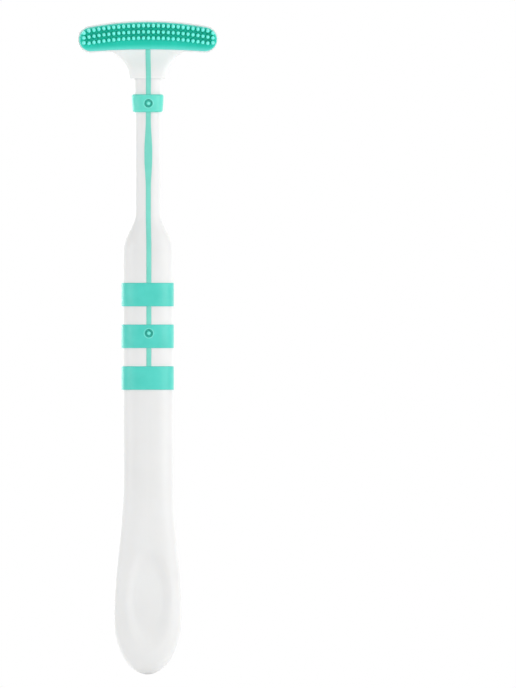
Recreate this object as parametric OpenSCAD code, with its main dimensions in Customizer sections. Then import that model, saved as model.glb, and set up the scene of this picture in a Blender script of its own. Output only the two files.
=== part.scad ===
// Double-sided tongue scraper. A stiff white handle carries a stiff white head.
// A soft pad of short nubs covers the head's front, and two soft scraping lips
// stand on its back. Soft bands ring the neck and the grip, and a thin soft
// runner in the front of the handle joins them to the pad.
// +Z runs up the handle to the head, the nubs face -Y and the lips face +Y.
// The origin is on the handle's axis at mid height of the middle grip band,
// where the hand holds the tool. All lengths are in millimetres.

/* [Paddle] */
// Length of the paddle, from its tip to the straight grip
paddle_len = 50; // [42:0.5:60]
// Widest width of the paddle
paddle_w = 17.7; // [15:0.1:21]
// Thickness of the paddle beside its thumb dishes
paddle_t = 7.6; // [6.6:0.1:9]
// Height of the widest place above the tip
paddle_round = 15.4; // [10:0.2:20]
// Depth of the rounding of the tip, seen from the side
tip_round = 6; // [3:0.2:9]
// Width of a thumb dish
dish_w = 12.6; // [8:0.2:14]
// Length of a thumb dish
dish_len = 28.6; // [18:0.2:30]
// Height of the middle of the dishes above the tip
dish_rise = 19.6; // [18:0.1:24]
// Depth of each thumb dish
dish_depth = 0.95; // [0.3:0.05:1.4]
// Width of the sloping wall round the floor of a thumb dish
dish_wall = 3; // [2:0.1:4]

/* [Grip] */
// Length of the straight grip
grip_len = 60.2; // [50:0.2:72]
// Width of the grip
grip_w = 13.4; // [11:0.1:15]
// Thickness of the grip
grip_t = 10.4; // [8.6:0.1:12]
// Height of one soft grip band
band_h = 6.1; // [4:0.1:7]
// Height of the white stretch between two bands
band_gap = 4.75; // [3:0.05:6]
// Height of the white grip above the upper band
band_top_gap = 8.4; // [5:0.1:12]
// Depth of the soft bands and the collar in the white plastic
seat_depth = 0.9; // [0.7:0.05:1.1]
// How far a soft band stands out of the grip
band_proud = 0.1; // [0.05:0.05:0.3]
// Bevel along the edges of a band
band_bevel = 0.15; // [0.05:0.05:0.4]

/* [Neck] */
// Height of the shoulder between grip and stem
shoulder_len = 10.2; // [7:0.1:14]
// Length of the thin stem below the collar
stem_len = 25.8; // [18:0.1:34]
// Width of the stem
stem_w = 6.7; // [5.6:0.1:8]
// Thickness of the stem
stem_t = 5.9; // [5:0.1:7]
// Height of the soft collar
collar_h = 4.6; // [3.6:0.1:7]
// How far the collar stands out of the stem
collar_proud = 0.55; // [0.2:0.05:0.9]
// Bevel along the edges of the collar
collar_bevel = 0.55; // [0.2:0.05:0.8]
// Length of the neck between collar and head
neck_len = 4.1; // [3:0.1:7]
// Width of the neck under the head
neck_w = 7.2; // [6:0.1:8.4]
// Thickness of the neck under the head
neck_t = 6.4; // [5.4:0.1:6.8]
// Width of the spigot that the head is pushed on
spigot_w = 4.4; // [3:0.1:5]
// Thickness of the spigot
spigot_t = 2.8; // [2:0.1:3]
// Length of the spigot
spigot_len = 4; // [3:0.1:4.4]

/* [Head] */
// Width of the head, end to end
head_w = 36.7; // [30:0.1:44]
// Height of the head from the neck joint to its crown
head_h = 15.1; // [13:0.1:18]
// Height of the head's curved plate at its middle
plate_h = 7.9; // [7.7:0.05:9]
// Thickness of the plate
plate_t = 3; // [2.6:0.1:3.6]
// Radius of the arc along the plate's top edge
crown_r = 83; // [70:1:110]
// Radius of the arc along the plate's bottom edge
base_r = 219; // [160:1:400]
// Rounding of the plate's edges
plate_edge = 0.4; // [0.1:0.05:0.6]
// Width of the head's foot, where it overhangs the neck
foot_w = 10.1; // [9:0.1:12]
// Thickness of the head's foot
foot_t = 7; // [6.9:0.1:8.4]

/* [Nub pad] */
// Width of the white rim left bare round the pad
pad_rim = 0.4; // [0.2:0.05:0.8]
// Depth of the pad's seat in the plate
pad_seat = 0.5; // [0.3:0.05:0.7]
// Height of the pad's face above the plate
pad_h = 1.1; // [0.7:0.05:1.6]
// Width of the slope below the lowest row of nubs
pad_slope = 1.7; // [0.8:0.1:2]
// Least distance from the end of the head to the last nubs of a row
nub_end_gap = 1.5; // [1.4:0.05:3]
// Number of rows of nubs
nub_rows = 3; // [1:1:3]
// Distance between the nubs of a row
nub_pitch = 1.29; // [1.2:0.01:1.31]
// Distance between the rows
row_pitch = 1.58; // [1.2:0.01:1.6]
// Distance from the crown of the plate to the upper row
row_drop = 1.35; // [1.2:0.05:1.6]
// Radius of the arc that each row follows
row_r = 90; // [75:1:120]
// How far the end nubs of the outer rows move towards the middle row
end_squeeze = 0.33; // [0:0.01:0.4]
// Diameter of a nub at its root
nub_root_d = 1.06; // [0.92:0.02:1.1]
// Diameter of a nub at its tip
nub_tip_d = 0.8; // [0.4:0.02:0.92]
// Height of a nub above the pad
nub_h = 1.6; // [0.8:0.05:2.2]

/* [Scraping lips] */
// Height of the lips above the back of the plate
lip_h = 2.1; // [1:0.05:3]
// Depth of the lips' roots in the plate
lip_seat = 0.5; // [0.3:0.05:0.7]
// Width of the outer lip at its root
outer_lip_w = 2.15; // [1.2:0.05:2.4]
// Width of the outer lip at its edge
outer_lip_edge = 0.9; // [0.4:0.05:1.1]
// Distance from the plate's edge to the middle of the outer lip
outer_lip_inset = 1.85; // [1.6:0.05:2.1]
// Length of the straight run at each end of the outer lip
hook_len = 1.7; // [1.4:0.05:2]
// Angle at which these straight ends lean inwards
hook_angle = 8; // [0:1:20]
// Length of the inner lip
inner_lip_len = 19.6; // [12:0.1:22]
// Width of the inner lip at its root
inner_lip_w = 1.95; // [1.4:0.05:2.2]
// Width of the inner lip at its edge
inner_lip_edge = 0.85; // [0.4:0.05:1.1]
// Distance from the plate's crown to the middle of the inner lip
inner_lip_inset = 5.5; // [5:0.05:6.2]
// Diameter of the soft plugs that tie lips and pad through the plate
plug_d = 1.1; // [0.6:0.05:1.2]
// Number of plugs under the outer lip
outer_plugs = 7; // [3:2:9]
// Number of plugs under the inner lip
inner_plugs = 3; // [1:2:5]

/* [Runner] */
// Width of the soft runner along the handle
runner_w = 1.3; // [0.8:0.05:1.6]
// Widest width of the runner's swelling on the stem
swell_w = 2.1; // [1.6:0.05:2.6]
// Length of the swelling
swell_len = 18.6; // [10:0.2:20]
// Distance from the collar down to the middle of the swelling
swell_drop = 11; // [10:0.2:14]
// Depth of the runner's channel
runner_depth = 0.6; // [0.3:0.05:0.65]
// How far the runner stands out of the handle
runner_proud = 0.08; // [0.02:0.02:0.2]
// Diameter of the round gate marks in the collar and the middle band
gate_d = 2.3; // [1.4:0.1:2.8]
// Diameter of the small dome inside a gate mark
gate_dome_d = 1.1; // [0.6:0.1:1.2]
// Depth of a gate mark
gate_depth = 0.45; // [0.15:0.05:0.5]
// Height of the middle band's gate mark above the middle of the band
gate_rise = 0.8; // [0:0.1:1.2]

/* [Hidden] */

// Colours of the stiff plastic and of the soft one
white = [0.94, 0.94, 0.93];
mint = [0.33, 0.85, 0.74];

// Clearances: spigot in its socket, and plugs in their holes
spigot_gap = 0.05;
plug_gap = 0.02;
// How far a cutter runs past the face that it cuts
overrun = 0.5;
// Height of the first section above the very tip
tip_start = 0.02;
// Half the length of the runner's ramp over the neck joint
ramp_len = 0.3;
// Depth of a nub's root in the pad
nub_sink = 0.05;

// Steps round a section, along an arc, round an end, along the stem, up the
// rounded tip, up the paddle and over the edge of a lip
round_steps = 44;
arc_steps = 12;
end_steps = 10;
stem_steps = 16;
tip_steps = 9;
paddle_steps = 22;
lip_steps = 4;
// Sides of the small round forms: nubs, plugs and gate marks
nub_sides = 24;
plug_sides = 24;
gate_sides = 40;

// Powers of the rounded outlines: 2 is an ellipse, higher is squarer
handle_power = 2.5;
foot_power = 3.6;

// Shares that place the front points of a plain section: of the runner's half
// width, of the section's half width at the tip, and of the outer point
wide_share = 1.5;
front_share = 0.35;
inner_share = 0.75;
// How far in the last plugs of the inner lip stand, in half widths of the lip
plug_inset_share = 2;
// Shares of the edge's rounding that the plate is drawn in at, from its face
edge_shares = [1, 0.3, 0];

// Heights above the paddle's tip
z_shoulder = paddle_len + grip_len;
z_stem = z_shoulder + shoulder_len;
z_collar = z_stem + stem_len;
z_neck = z_collar + collar_h;
z_joint = z_neck + neck_len;
z_crown = z_joint + head_h;
z_base = z_crown - plate_h;
band_pitch = band_h + band_gap;
z_upper_band = z_shoulder - band_top_gap - band_h;
z_middle_band = z_upper_band - band_pitch;
z_lower_band = z_middle_band - band_pitch;
z_origin = z_middle_band + band_h / 2;

// Faces of the plate, and of the seats in it
front_face = -plate_t / 2;
back_face = plate_t / 2;
pad_floor = front_face + pad_seat;
lip_floor = back_face - lip_seat;

// Small helpers
function mix(a, b, t) = a + (b - a) * t;
function ease(t) = (1 - cos(180 * max(0, min(1, t)))) / 2;
function flatten(rows) = [for (row = rows) each row];

// Half width of the handle at height z above the tip
function half_w(z) =
    z < paddle_round ? paddle_w / 2 * sqrt(1 - pow(1 - z / paddle_round, 2)) :
    z < paddle_len ? mix(paddle_w, grip_w, ease((z - paddle_round) / (paddle_len - paddle_round))) / 2 :
    z < z_stem ? mix(grip_w, stem_w, ease((z - z_shoulder) / shoulder_len)) / 2 :
    mix(stem_w, neck_w, max(0, min(1, (z - z_collar) / collar_h))) / 2;

// Half thickness of the handle at height z above the tip
function half_t(z) =
    z < tip_round ? paddle_t / 2 * sqrt(1 - pow(1 - z / tip_round, 2)) :
    z < paddle_len ? mix(paddle_t, grip_t, ease((z - paddle_round) / (paddle_len - paddle_round))) / 2 :
    z < z_stem ? mix(grip_t, stem_t, ease((z - z_shoulder) / shoulder_len)) / 2 :
    mix(stem_t, neck_t, max(0, min(1, (z - z_collar) / collar_h))) / 2;

// Depth of the thumb dish at a place on the paddle, from its rim down its wall
function dish(x, z) =
    let (r = norm([2 * x / dish_w, 2 * (z - dish_rise) / dish_len]))
    dish_depth * ease((1 - r) * dish_w / 2 / dish_wall);

// Points of a rounded outline of half width a and half thickness b
function oval(a, b, power) = [
    for (i = [0 : round_steps - 1]) oval_point(a, b, power, 360 * i / round_steps)
];

// Point of a rounded outline at angle t, and depth of its front at width x
function oval_point(a, b, power, t) =
    let (c = cos(t), s = sin(t))
    [a * sign(c) * pow(abs(c), 2 / power), b * sign(s) * pow(abs(s), 2 / power)];
function oval_front(a, b, power, x) = -b * pow(1 - pow(x / a, power), 1 / power);

// Outline that runs round from a point right of the front to its mirror image
function oval_from(a, b, power, x) =
    let (t = -acos(pow(x / a, power / 2)))
    [for (i = [0 : round_steps]) oval_point(a, b, power, mix(t, 180 - t, i / round_steps))];

// Puts a flat outline of the handle at height z and sinks the thumb dishes in it
function raised(points, z) = [for (p = points) [p.x, p.y - sign(p.y) * dish(p.x, z), z]];

// Plain section of the handle at height z, grown outwards by out. Its two
// front points stand a little wider than the runner, so that it can follow a
// notched section without a fold.
function plain(z, out = 0) = plain_oval(half_w(z) + out, half_t(z) + out, handle_power, z);
function plain_oval(a, b, power, z) =
    let (
        x = min(wide_share * runner_w / 2, front_share * a),
        x_in = x * inner_share,
        y_in = oval_front(a, b, power, x_in)
    )
    raised(concat(oval_from(a, b, power, x), [[-x_in, y_in], [x_in, y_in]]), z);

// Section of the handle at height z with the runner's channel in its front
function notched(z) =
    let (x = runner_half(z), y = handle_front(z) + runner_depth)
    raised(concat(oval_from(half_w(z), half_t(z), handle_power, x), [[-x, y], [x, y]]), z);

// Solid through a list of rings with as many points each.
// A closed one joins its last ring to its first in place of two end caps.
module loft(rings, closed = false) {
    n = len(rings[0]);
    last = len(rings) - 1;
    sides = [
        for (k = [0 : closed ? last : last - 1], i = [0 : n - 1])
            let (a = k * n, b = ((k + 1) % (last + 1)) * n, j = (i + 1) % n)
            each [[a + i, b + i, b + j], [a + i, b + j, a + j]]
    ];
    caps = closed ? [] : [[for (i = [0 : n - 1]) i], [for (i = [n - 1 : -1 : 0]) last * n + i]];
    polyhedron(flatten(rings), concat(sides, caps), convexity = 6);
}

// Puts a piece that is drawn up from the paddle's tip into the part's frame
module from_tip() {
    translate([0, 0, -z_origin]) children();
}

// Ring round the handle, drawn through [out, z] points of its profile
module ring(profile) {
    loft([for (p = profile) plain(p[1], p[0])], closed = true);
}

// Profile of a soft ring with bevelled edges, which fills its seat
function soft_profile(z, h, proud, bevel) = [
    [-seat_depth, z],
    [proud - bevel, z],
    [proud, z + bevel],
    [proud, z + h - bevel],
    [proud - bevel, z + h],
    [-seat_depth, z + h]
];

// Section of the spigot at height z, grown by a clearance for its socket
function spigot_ring(z, grow) = plain_oval(spigot_w / 2 + grow, spigot_t / 2 + grow, foot_power, z);

// Half width and half thickness of the head's foot, which flares into the plate
foot_h = z_base - z_joint;
flare_r = foot_h + plate_edge;
function foot_half_t(z) = mix(foot_t, plate_t, ease((z - z_joint) / foot_h)) / 2;
function foot_half_w(z) =
    let (rise = min(z - z_joint, flare_r))
    foot_w / 2 + flare_r - sqrt(pow(flare_r, 2) - pow(rise, 2));

// Half width of the runner, which swells to a spindle on the stem
function runner_half(z) =
    let (t = abs(z - (z_collar - swell_drop)) / (swell_len / 2))
    mix(swell_w, runner_w, ease(t)) / 2;

// Front of the white plastic beside the runner, on the handle, on the head,
// and along the short ramp from the one to the other
function handle_front(z) = oval_front(half_w(z), half_t(z), handle_power, runner_half(z));
function foot_front(z) = oval_front(foot_half_w(z), foot_half_t(z), foot_power, runner_half(z));
function front(z) =
    z < z_joint - ramp_len ? handle_front(z) :
    z > z_joint + ramp_len ? foot_front(z) :
    mix(handle_front(z_joint - ramp_len), foot_front(z_joint + ramp_len),
        (z - z_joint + ramp_len) / (2 * ramp_len));

// Heights at which each runner is drawn
neck_runner_zs = concat(
    [z_neck, z_joint - ramp_len],
    [for (i = [0 : arc_steps]) mix(z_joint + ramp_len, z_base + pad_rim, i / arc_steps)]
);
stem_runner_zs = concat(
    [z_upper_band + band_h],
    [for (i = [0 : end_steps]) mix(z_shoulder, z_stem, i / end_steps)],
    [for (i = [1 : stem_steps]) mix(z_stem, z_collar, i / stem_steps)]
);

// Flat bar of the runner through the given heights
module runner_bar(zs, out) {
    loft([
        for (z = zs)
            let (x = runner_half(z), y = front(z))
            [[x, y - out, z], [x, y + runner_depth, z], [-x, y + runner_depth, z], [-x, y - out, z]]
    ]);
}

// Round gate mark at height z, as a cutter with a dome left in its middle
module gate_mark(z, proud) {
    translate([0, -half_t(z) - proud, z])
        rotate([90, 0, 0])
            difference() {
                translate([0, 0, -gate_depth])
                    cylinder(h = gate_depth + overrun, d = gate_d, $fn = gate_sides);
                translate([0, 0, -gate_depth])
                    cylinder(h = gate_depth, d1 = gate_dome_d, d2 = gate_dome_d / 2, $fn = gate_sides);
            }
}

// Bar with an arched top, an arched base and round ends, in [x, z] points.
// The inset draws it in all round, and the slope lifts its base as well.
function bar_top_r(inset) = crown_r - inset;
function bar_base_r(inset, slope) = base_r + inset + slope;
crown_c = z_crown - crown_r;
base_c = z_base - base_r;

// Radius of the bar's round ends, tangent to both arcs and to its full width
function bar_end_r(inset, slope = 0) =
    let (
        rt = bar_top_r(inset),
        rb = bar_base_r(inset, slope),
        half = head_w / 2 - inset,
        span = crown_c - base_c,
        b = (rb + rt) / span,
        a = ((rb * rb - rt * rt) / span + base_c + crown_c) / 2 - crown_c,
        q = b * a - half + rt,
        c = half * half + a * a - rt * rt
    )
    (sqrt(q * q - b * b * c) - q) / (b * b);

// Middle of the bar's right end, as [x, z]
function bar_end_c(inset, slope = 0) =
    let (
        r = bar_end_r(inset, slope),
        x = head_w / 2 - inset - r,
        reach = bar_top_r(inset) - r
    )
    [x, crown_c + sqrt(reach * reach - x * x)];

// Right half of the bar's outline, from the crown round the end to the base
function bar_half(inset, slope = 0) =
    let (
        rt = bar_top_r(inset),
        rb = bar_base_r(inset, slope),
        r = bar_end_r(inset, slope),
        c = bar_end_c(inset, slope),
        top_a = atan2(c[1] - crown_c, c[0]),
        base_a = atan2(c[1] - base_c, c[0])
    )
    concat(
        [for (i = [0 : arc_steps]) let (a = mix(90, top_a, i / arc_steps))
            [rt * cos(a), crown_c + rt * sin(a)]],
        [for (i = [1 : end_steps]) let (a = mix(top_a, base_a - 180, i / end_steps))
            [c[0] + r * cos(a), c[1] + r * sin(a)]],
        [for (i = [1 : arc_steps]) let (a = mix(base_a, 90, i / arc_steps))
            [rb * cos(a), base_c + rb * sin(a)]]
    );

// Whole outline at depth y, clockwise from the crown as seen from the front
function bar_ring(y, inset, slope = 0) =
    let (half = bar_half(inset, slope), n = len(half))
    concat(
        [for (p = half) [p[0], y, p[1]]],
        [for (i = [n - 2 : -1 : 1]) [-half[i][0], y, half[i][1]]]
    );

// Station of a lip: [x, z] on an arc, the arc's outward normal, and a share of
// the lip's width, which rounds its ends
function station(c, r, a, share) = [c[0] + r * cos(a), c[1] + r * sin(a), cos(a), sin(a), share];

// Shares of the half width at which a round end is drawn, from its very end in
end_shares = [0.03, 0.15, 0.4, 1];
function end_width_share(s) = sqrt(1 - pow(1 - s, 2));
function arc_deg(length, r) = length / r * 180 / PI;

// Right half of the outer lip: along the crown, round the plate's end and
// straight down to its tip
outer_end_r = bar_end_r(0) - outer_lip_inset;
outer_top_r = crown_r - outer_lip_inset;
outer_c = bar_end_c(0);
outer_top_a = atan2(outer_c[1] - crown_c, outer_c[0]);
function hook_station(s) =
    let (a = -hook_angle, run = hook_len - s * outer_lip_w / 2)
    station(outer_c + run * [sin(a), -cos(a)], outer_end_r, a, end_width_share(s));
outer_right = concat(
    [for (i = [1 : arc_steps])
        station([0, crown_c], outer_top_r, mix(90, outer_top_a, i / arc_steps), 1)],
    [for (i = [1 : end_steps])
        station(outer_c, outer_end_r, mix(outer_top_a, -hook_angle, i / end_steps), 1)],
    [for (i = [len(end_shares) - 1 : -1 : 0]) hook_station(end_shares[i])]
);

// Right half of the inner lip, on an arc about the same middle as the crown
inner_r = crown_r - inner_lip_inset;
function inner_stop(s) = 90 - arc_deg(inner_lip_len / 2 - s * inner_lip_w / 2, inner_r);
inner_right = concat(
    [for (i = [1 : arc_steps]) station([0, crown_c], inner_r, mix(90, inner_stop(1), i / arc_steps), 1)],
    [for (i = [len(end_shares) - 2 : -1 : 0])
        station([0, crown_c], inner_r, inner_stop(end_shares[i]), end_width_share(end_shares[i]))]
);

// Both halves of a lip, from its left end to its right end
function mirrored(right, r) = concat(
    [for (i = [len(right) - 1 : -1 : 0])
        let (s = right[i]) [-s[0], s[1], -s[2], s[3], s[4]]],
    [station([0, crown_c], r, 90, 1)],
    right
);

outer_stations = mirrored(outer_right, outer_top_r);
inner_stations = mirrored(inner_right, inner_r);

// Section of a lip across its run, as [across, out of the plate] points
function lip_section(root_w, edge_w) =
    let (r = edge_w / 2, shoulder = root_w / 2)
    concat(
        [[-shoulder, -lip_seat], [-shoulder, 0]],
        [for (i = [lip_steps : -1 : 0])
            let (a = 180 * i / lip_steps)
            [r * cos(a), lip_h - r + r * sin(a)]],
        [[shoulder, 0], [shoulder, -lip_seat]]
    );

// Lip drawn through its stations
module lip(stations, root_w, edge_w) {
    profile = lip_section(root_w, edge_w);
    loft([
        for (s = stations) [
            for (p = profile)
                let (u = p[0] * s[4])
                [s[0] + s[2] * u, back_face + p[1], s[1] + s[3] * u]
        ]
    ]);
}

// Inset of the flat field under the nubs, and its height above the slope's edge
field_inset = pad_rim + pad_h / 4;
field_step = pad_h / 10;

// Middle of a nub, counted from the middle column and the upper row
mid_row = (nub_rows - 1) / 2;
last_column = floor((head_w / 2 - nub_end_gap) / nub_pitch);
function nub_place(column, row) =
    let (
        x = column * nub_pitch,
        squeeze = abs(column) == last_column ? (row - mid_row) * end_squeeze : 0
    )
    [x, z_crown - row_drop - row * row_pitch - row_r + sqrt(row_r * row_r - x * x) + squeeze];

// Soft nub, a blunt cone with a rounded tip, standing up along +Z
module nub() {
    r = nub_tip_d / 2;
    rotate_extrude($fn = nub_sides)
        polygon(concat(
            [[0, -nub_sink], [nub_root_d / 2, -nub_sink]],
            [for (a = [0 : 30 : 90]) [r * cos(a), nub_h - r + r * sin(a)]]
        ));
}

// Field of the pad that carries the nubs, and the slope round it
module pad_field() {
    face = front_face - pad_h;
    along_y(face, pad_floor, flat(bar_ring(0, field_inset, pad_slope)));
}

module pad_skirt() {
    face = front_face - pad_h;
    loft([
        bar_ring(face + field_step, field_inset, pad_slope),
        bar_ring(front_face - pad_h / 4, pad_rim),
        bar_ring(pad_floor, pad_rim)
    ]);
}

// Places of the plugs, spread along the two lips
function spread(n, i) = n == 1 ? 0 : 2 * i / (n - 1) - 1;
plug_places = concat(
    [for (i = [0 : outer_plugs - 1])
        let (a = 90 - spread(outer_plugs, i) * (90 - outer_top_a))
        [outer_top_r * cos(a), crown_c + outer_top_r * sin(a)]],
    [for (i = [0 : inner_plugs - 1])
        let (a = 90 - spread(inner_plugs, i) * (90 - inner_stop(plug_inset_share)))
        [inner_r * cos(a), crown_c + inner_r * sin(a)]]
);

// Soft plugs between the floor of the pad's seat and the floors of the slots
module plugs(grow) {
    for (p = plug_places)
        translate([p[0], pad_floor - grow, p[1]])
            rotate([-90, 0, 0])
                cylinder(h = lip_floor - pad_floor + 2 * grow, r = plug_d / 2 + grow, $fn = plug_sides);
}

// Sections of a seat for a soft ring, with the runner's channel above it
function seat_rings(z, h) = [plain(z, -seat_depth), plain(z + h, -seat_depth), notched(z + h)];

// Sections of the whole handle, from the tip to the end of its spigot
tip_zs = [for (i = [1 : tip_steps]) paddle_round * (1 - cos(90 * i / tip_steps))];
paddle_zs = [for (i = [1 : paddle_steps]) mix(paddle_round, paddle_len, i / paddle_steps)];
handle_rings = concat(
    [for (z = concat([tip_start], tip_zs, paddle_zs, [z_lower_band])) plain(z)],
    seat_rings(z_lower_band, band_h),
    [notched(z_middle_band)],
    seat_rings(z_middle_band, band_h),
    [notched(z_upper_band)],
    seat_rings(z_upper_band, band_h),
    [for (i = [1 : len(stem_runner_zs) - 1]) notched(stem_runner_zs[i])],
    seat_rings(z_collar, collar_h),
    [notched(z_joint)],
    [for (z = [z_joint, z_joint + spigot_len]) spigot_ring(z, 0)]
);

// Stiff handle: paddle, grip, shoulder, stem, neck and the head's spigot
module handle() {
    color(white) from_tip() loft(handle_rings);
}

// Curved plate of the head, with rounded edges
module head_plate() {
    n = len(edge_shares);
    loft(concat(
        [for (s = edge_shares) bar_ring(front_face + (1 - s) * plate_edge, s * plate_edge)],
        [for (i = [n - 1 : -1 : 0])
            let (s = edge_shares[i])
            bar_ring(back_face - (1 - s) * plate_edge, s * plate_edge)]
    ));
}

// Foot of the head, square over the neck and flared into the plate
module head_foot() {
    zs = concat(
        [for (i = [0 : arc_steps]) z_joint + flare_r * sin(90 * i / arc_steps)],
        [z_base + plate_h / 4]
    );
    bevel = plate_edge / 2;
    loft(concat(
        [[for (p = oval(foot_w / 2 - bevel, foot_t / 2 - bevel, foot_power)) [p.x, p.y, z_joint]]],
        [for (z = zs) [
            for (p = oval(foot_half_w(z), foot_half_t(z) - (z > z_base ? plate_edge : 0), foot_power))
                [p.x, p.y, max(z, z_joint + bevel)]
        ]]
    ));
}

// Solid between two depths, from an outline in [x, z] points
module along_y(y_from, y_to, outline) {
    translate([0, y_to, 0])
        rotate([90, 0, 0])
            linear_extrude(y_to - y_from)
                polygon(outline);
}

// Outline of a ring or a lip seen from the front, as [x, z] points
function flat(points) = [for (p = points) [p.x, p.z]];
function lip_outline(stations, root_w) = concat(
    [for (s = stations) let (u = s[4] * root_w / 2) [s[0] + s[2] * u, s[1] + s[3] * u]],
    [for (i = [len(stations) - 1 : -1 : 0])
        let (s = stations[i], u = -s[4] * root_w / 2)
        [s[0] + s[2] * u, s[1] + s[3] * u]]
);

// Stiff head with its socket, the seats of the soft pieces and the plug holes
module head() {
    color(white)
        from_tip()
            difference() {
                union() {
                    head_plate();
                    head_foot();
                }
                loft([
                    spigot_ring(z_joint - overrun, spigot_gap),
                    spigot_ring(z_joint + spigot_len + spigot_gap, spigot_gap)
                ]);
                along_y(front_face - overrun, pad_floor, flat(bar_ring(0, pad_rim)));
                along_y(lip_floor, back_face + overrun, lip_outline(outer_stations, outer_lip_w));
                along_y(lip_floor, back_face + overrun, lip_outline(inner_stations, inner_lip_w));
                plugs(plug_gap);
                runner_bar(neck_runner_zs, overrun);
            }
}

// Soft pad with its rows of nubs
module bristle_pad() {
    color(mint)
        from_tip()
            union() {
                pad_skirt();
                pad_field();
                for (row = [0 : nub_rows - 1], column = [-last_column : last_column])
                    let (p = nub_place(column, row))
                    translate([p[0], front_face - pad_h, p[1]])
                        rotate([90, 0, 0])
                            nub();
            }
}

// Soft scraping lip along the crown, hooked round both ends of the head
module outer_scraper_lip() {
    color(mint) from_tip() lip(outer_stations, outer_lip_w, outer_lip_edge);
}

// Short soft scraping lip below the outer one
module inner_scraper_lip() {
    color(mint) from_tip() lip(inner_stations, inner_lip_w, inner_lip_edge);
}

// Soft plugs through the plate, which tie the lips to the pad
module lip_anchor_plugs() {
    color(mint) from_tip() plugs(0);
}

// Soft runner from the collar over the neck joint to the pad
module neck_runner() {
    color(mint) from_tip() runner_bar(neck_runner_zs, runner_proud);
}

// Soft collar round the neck, with a gate mark in its front
module neck_collar() {
    color(mint)
        from_tip()
            difference() {
                ring(soft_profile(z_collar, collar_h, collar_proud, collar_bevel));
                gate_mark(z_collar + collar_h / 2, collar_proud);
            }
}

// Soft runner from the upper band to the collar, swollen to a spindle
module stem_runner() {
    color(mint) from_tip() runner_bar(stem_runner_zs, runner_proud);
}

// Soft band round the grip
module grip_band(z) {
    ring(soft_profile(z, band_h, band_proud, band_bevel));
}

module grip_band_upper() {
    color(mint) from_tip() grip_band(z_upper_band);
}

// The middle band has a gate mark in its front
module grip_band_middle() {
    color(mint)
        from_tip()
            difference() {
                grip_band(z_middle_band);
                gate_mark(z_origin + gate_rise, band_proud);
            }
}

module grip_band_lower() {
    color(mint) from_tip() grip_band(z_lower_band);
}

// Short runners between the bands
module band_runner_upper() {
    color(mint) from_tip() runner_bar([z_middle_band + band_h, z_upper_band], runner_proud);
}

module band_runner_lower() {
    color(mint) from_tip() runner_bar([z_lower_band + band_h, z_middle_band], runner_proud);
}

handle();
head();
bristle_pad();
outer_scraper_lip();
inner_scraper_lip();
lip_anchor_plugs();
neck_runner();
neck_collar();
stem_runner();
grip_band_upper();
grip_band_middle();
grip_band_lower();
band_runner_upper();
band_runner_lower();
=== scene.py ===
import math

import bpy
import numpy as np
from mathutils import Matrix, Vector


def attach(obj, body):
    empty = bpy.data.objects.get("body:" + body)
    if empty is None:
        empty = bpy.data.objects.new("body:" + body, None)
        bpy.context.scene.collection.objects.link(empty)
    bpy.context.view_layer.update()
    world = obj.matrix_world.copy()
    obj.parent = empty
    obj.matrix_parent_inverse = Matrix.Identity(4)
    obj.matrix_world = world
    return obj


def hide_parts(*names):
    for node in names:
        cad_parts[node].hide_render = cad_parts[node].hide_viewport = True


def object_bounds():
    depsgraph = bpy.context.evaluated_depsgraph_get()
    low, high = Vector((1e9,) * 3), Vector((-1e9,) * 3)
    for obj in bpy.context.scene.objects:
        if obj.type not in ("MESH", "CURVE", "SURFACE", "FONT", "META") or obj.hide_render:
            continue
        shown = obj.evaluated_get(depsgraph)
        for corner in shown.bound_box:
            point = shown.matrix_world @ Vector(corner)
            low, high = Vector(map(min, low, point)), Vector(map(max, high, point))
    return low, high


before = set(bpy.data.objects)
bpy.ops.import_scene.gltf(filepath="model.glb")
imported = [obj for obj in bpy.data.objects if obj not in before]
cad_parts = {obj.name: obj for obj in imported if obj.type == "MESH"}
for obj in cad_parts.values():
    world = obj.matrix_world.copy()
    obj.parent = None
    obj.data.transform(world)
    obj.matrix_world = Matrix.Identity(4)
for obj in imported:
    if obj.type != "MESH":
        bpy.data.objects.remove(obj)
cad_low, cad_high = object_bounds()

# ---- Camera ----
# It looks at the nub side from a few degrees to the left, through a lens so long
# that nothing converges. The tool stands left of the middle of the picture, where
# the photograph has its front view.
VIEW_TURN = math.radians(-3.5)
PICTURE_HEIGHT = 0.1789
PICTURE_MIDDLE = (0.0287, -0.0020)
CAMERA_DISTANCE = 0.8

to_right = Vector((math.cos(VIEW_TURN), math.sin(VIEW_TURN), 0))
to_camera = Vector((math.sin(VIEW_TURN), -math.cos(VIEW_TURN), 0))
camera_data = bpy.data.cameras.new("Camera")
camera_data.type = "ORTHO"
camera_data.ortho_scale = PICTURE_HEIGHT
camera = bpy.data.objects.new("Camera", camera_data)
camera.location = to_right * PICTURE_MIDDLE[0] + Vector((0, 0, PICTURE_MIDDLE[1])) + to_camera * CAMERA_DISTANCE
camera.rotation_mode = "QUATERNION"
camera.rotation_quaternion = (-to_camera).to_track_quat("-Z", "Y")
bpy.context.collection.objects.link(camera)
bpy.context.scene.camera = camera

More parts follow.
